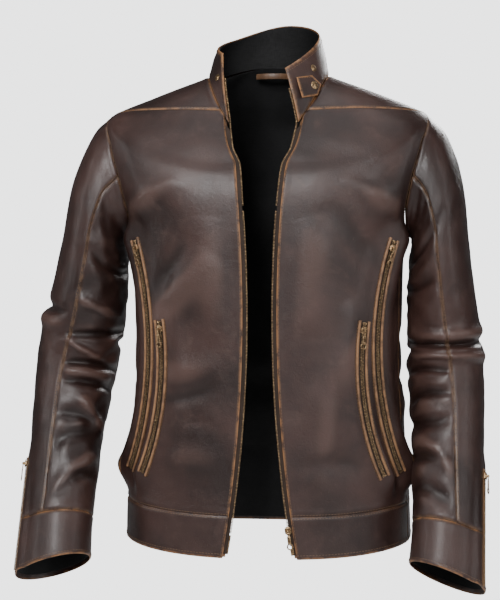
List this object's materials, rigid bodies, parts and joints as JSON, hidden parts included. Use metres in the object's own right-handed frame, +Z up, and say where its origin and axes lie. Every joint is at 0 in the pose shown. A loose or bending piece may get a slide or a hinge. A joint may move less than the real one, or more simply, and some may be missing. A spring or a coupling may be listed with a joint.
{
  "type": "leather riding jacket",
  "caption": "Waist-length leather riding jacket with a stand-up snap-tab collar, open zip front, curved zip pockets and zipped cuffs, filled out as if worn.",
  "frame": {"origin": "centre of the neck, level with the side neck points where the collar is sewn on", "axes": "+Z up, the jacket's front faces -Y, the wearer's left side is +X"},
  "size_m": [0.6541, 0.283, 0.791],
  "materials": {
    "leather": "satin, distressed",
    "leather_trim": "burnished",
    "lining": "smooth",
    "collar_cloth": "matte",
    "zip_tape": "matte",
    "brass": "antique"
  },
  "bodies": {
    "torso": {"back_panel": "leather", "shoulder_yoke": "leather", "front_panel_left": "leather", "front_panel_right": "leather", "side_panel_left": "leather", "side_panel_right": "leather", "hem_band_back": "leather", "hem_band_left": "leather", "hem_band_right": "leather", "collar_shell": "leather", "collar_lining": "collar_cloth", "front_facing_left": "leather_trim", "front_facing_right": "leather_trim", "front_lining_left": "lining", "front_lining_right": "lining", "back_lining": "lining", "hanger_loop": "leather_trim", "pocket_bags": "lining", "pocket_welts": "leather_trim", "pocket_zip_tapes": "zip_tape", "pocket_zip_teeth": "brass", "front_zip_tape_left": "zip_tape", "front_zip_tape_right": "zip_tape", "front_zip_teeth_left": "brass", "front_zip_teeth_right": "brass", "front_zip_box_and_pin": "brass", "snap_studs": "brass"},
    "front_zip_slider": {"front_zip_slider": "brass"},
    "front_zip_pull": {"front_zip_pull": "brass"},
    "chest_zip_slider_left": {"chest_zip_slider_left": "brass"},
    "chest_zip_pull_left": {"chest_zip_pull_left": "brass"},
    "chest_zip_slider_right": {"chest_zip_slider_right": "brass"},
    "chest_zip_pull_right": {"chest_zip_pull_right": "brass"},
    "hand_zip_slider_left": {"hand_zip_slider_left": "brass"},
    "hand_zip_pull_left": {"hand_zip_pull_left": "brass"},
    "hand_zip_slider_right": {"hand_zip_slider_right": "brass"},
    "hand_zip_pull_right": {"hand_zip_pull_right": "brass"},
    "collar_tab": {"collar_tab": "leather", "collar_tab_snap": "brass"},
    "upper_sleeve_left": {"upper_sleeve_outer_left": "leather", "upper_sleeve_under_left": "leather", "upper_sleeve_lining_left": "lining"},
    "upper_sleeve_right": {"upper_sleeve_outer_right": "leather", "upper_sleeve_under_right": "leather", "upper_sleeve_lining_right": "lining"},
    "lower_sleeve_left": {"lower_sleeve_outer_left": "leather", "lower_sleeve_under_left": "leather", "lower_sleeve_lining_left": "lining", "cuff_left": "leather", "cuff_zip_left": "brass"},
    "cuff_zip_slider_left": {"cuff_zip_slider_left": "brass"},
    "cuff_zip_pull_left": {"cuff_zip_pull_left": "brass"},
    "lower_sleeve_right": {"lower_sleeve_outer_right": "leather", "lower_sleeve_under_right": "leather", "lower_sleeve_lining_right": "lining", "cuff_right": "leather", "cuff_zip_right": "brass"},
    "cuff_zip_slider_right": {"cuff_zip_slider_right": "brass"},
    "cuff_zip_pull_right": {"cuff_zip_pull_right": "brass"}
  },
  "joints": [
    {"name": "shoulder_left", "type": "hinge", "parent": "torso", "child": "upper_sleeve_left", "pos_m": [0.222, 0, -0.054], "axis": [0, -1, 0], "range_deg": [0, 35]},
    {"name": "shoulder_right", "type": "hinge", "parent": "torso", "child": "upper_sleeve_right", "pos_m": [-0.222, 0, -0.054], "axis": [0, 1, 0], "range_deg": [0, 35]},
    {"name": "elbow_left", "type": "hinge", "parent": "upper_sleeve_left", "child": "lower_sleeve_left", "pos_m": [0.249, 0.004, -0.391], "axis": [-1, 0, 0], "range_deg": [-12, 40]},
    {"name": "elbow_right", "type": "hinge", "parent": "upper_sleeve_right", "child": "lower_sleeve_right", "pos_m": [-0.27827, 0.004, -0.38736], "axis": [-0.9962, 0, 0.0872], "range_deg": [-12, 40]},
    {"name": "front_slider_travel", "type": "hinge", "parent": "torso", "child": "front_zip_slider", "pos_m": [1.962, -0.1222, -0.33], "axis": [0, 1, 0], "range_deg": [0, 12.36]},
    {"name": "front_pull_swing", "type": "hinge", "parent": "front_zip_slider", "child": "front_zip_pull", "pos_m": [0.03881, -0.1274, -0.62043], "axis": [-0.9888, 0, -0.1493], "range_deg": [0, 150]},
    {"name": "chest_slider_travel_left", "type": "hinge", "parent": "torso", "child": "chest_zip_slider_left", "pos_m": [0.46102, 0.15543, -0.36862], "axis": [0.6277, -0.7782, -0.0186], "range_deg": [0, 45.03]},
    {"name": "chest_pull_swing_left", "type": "hinge", "parent": "chest_zip_slider_left", "child": "chest_zip_pull_left", "pos_m": [0.17895, -0.08185, -0.23998], "axis": [-0.7309, -0.5975, 0.3298], "range_deg": [0, 150]},
    {"name": "chest_slider_travel_right", "type": "hinge", "parent": "torso", "child": "chest_zip_slider_right", "pos_m": [-0.46102, 0.15543, -0.36862], "axis": [0.6277, 0.7782, 0.0186], "range_deg": [0, 45.03]},
    {"name": "chest_pull_swing_right", "type": "hinge", "parent": "chest_zip_slider_right", "child": "chest_zip_pull_right", "pos_m": [-0.17895, -0.08185, -0.23998], "axis": [-0.7309, 0.5975, -0.3298], "range_deg": [0, 150]},
    {"name": "hand_slider_travel_left", "type": "hinge", "parent": "torso", "child": "hand_zip_slider_left", "pos_m": [0.45805, 0.06694, -0.39397], "axis": [0.4701, -0.8826, -0.0027], "range_deg": [0, 30.52]},
    {"name": "hand_pull_swing_left", "type": "hinge", "parent": "hand_zip_slider_left", "child": "hand_zip_pull_left", "pos_m": [0.14142, -0.10775, -0.35008], "axis": [-0.876, -0.467, 0.1205], "range_deg": [0, 150]},
    {"name": "hand_slider_travel_right", "type": "hinge", "parent": "torso", "child": "hand_zip_slider_right", "pos_m": [-0.45805, 0.06694, -0.39397], "axis": [0.4701, 0.8826, 0.0027], "range_deg": [0, 30.52]},
    {"name": "hand_pull_swing_right", "type": "hinge", "parent": "hand_zip_slider_right", "child": "hand_zip_pull_right", "pos_m": [-0.14142, -0.10775, -0.35008], "axis": [-0.876, 0.467, -0.1205], "range_deg": [0, 150]},
    {"name": "cuff_slider_travel_left", "type": "slide", "parent": "lower_sleeve_left", "child": "cuff_zip_slider_left", "axis": [-0.0121, -0.4393, -0.8983], "range_m": [0, 0.1421]},
    {"name": "cuff_pull_swing_left", "type": "hinge", "parent": "cuff_zip_slider_left", "child": "cuff_zip_pull_left", "pos_m": [0.30803, -0.06322, -0.55082], "axis": [-0.2891, -0.8584, 0.4237], "range_deg": [0, 150]},
    {"name": "cuff_slider_travel_right", "type": "slide", "parent": "lower_sleeve_right", "child": "cuff_zip_slider_right", "axis": [-0.0052, -0.4365, -0.8997], "range_m": [0, 0.1432]},
    {"name": "cuff_pull_swing_right", "type": "hinge", "parent": "cuff_zip_slider_right", "child": "cuff_zip_pull_right", "pos_m": [-0.3418, -0.06327, -0.5439], "axis": [-0.3134, 0.8551, -0.4131], "range_deg": [0, 150]},
    {"name": "collar_tab_fold", "type": "hinge", "parent": "torso", "child": "collar_tab", "pos_m": [0.04812, -0.07205, -0.02172], "axis": [0.2902, -0.0768, -0.9539], "range_deg": [0, 150]}
  ]
}
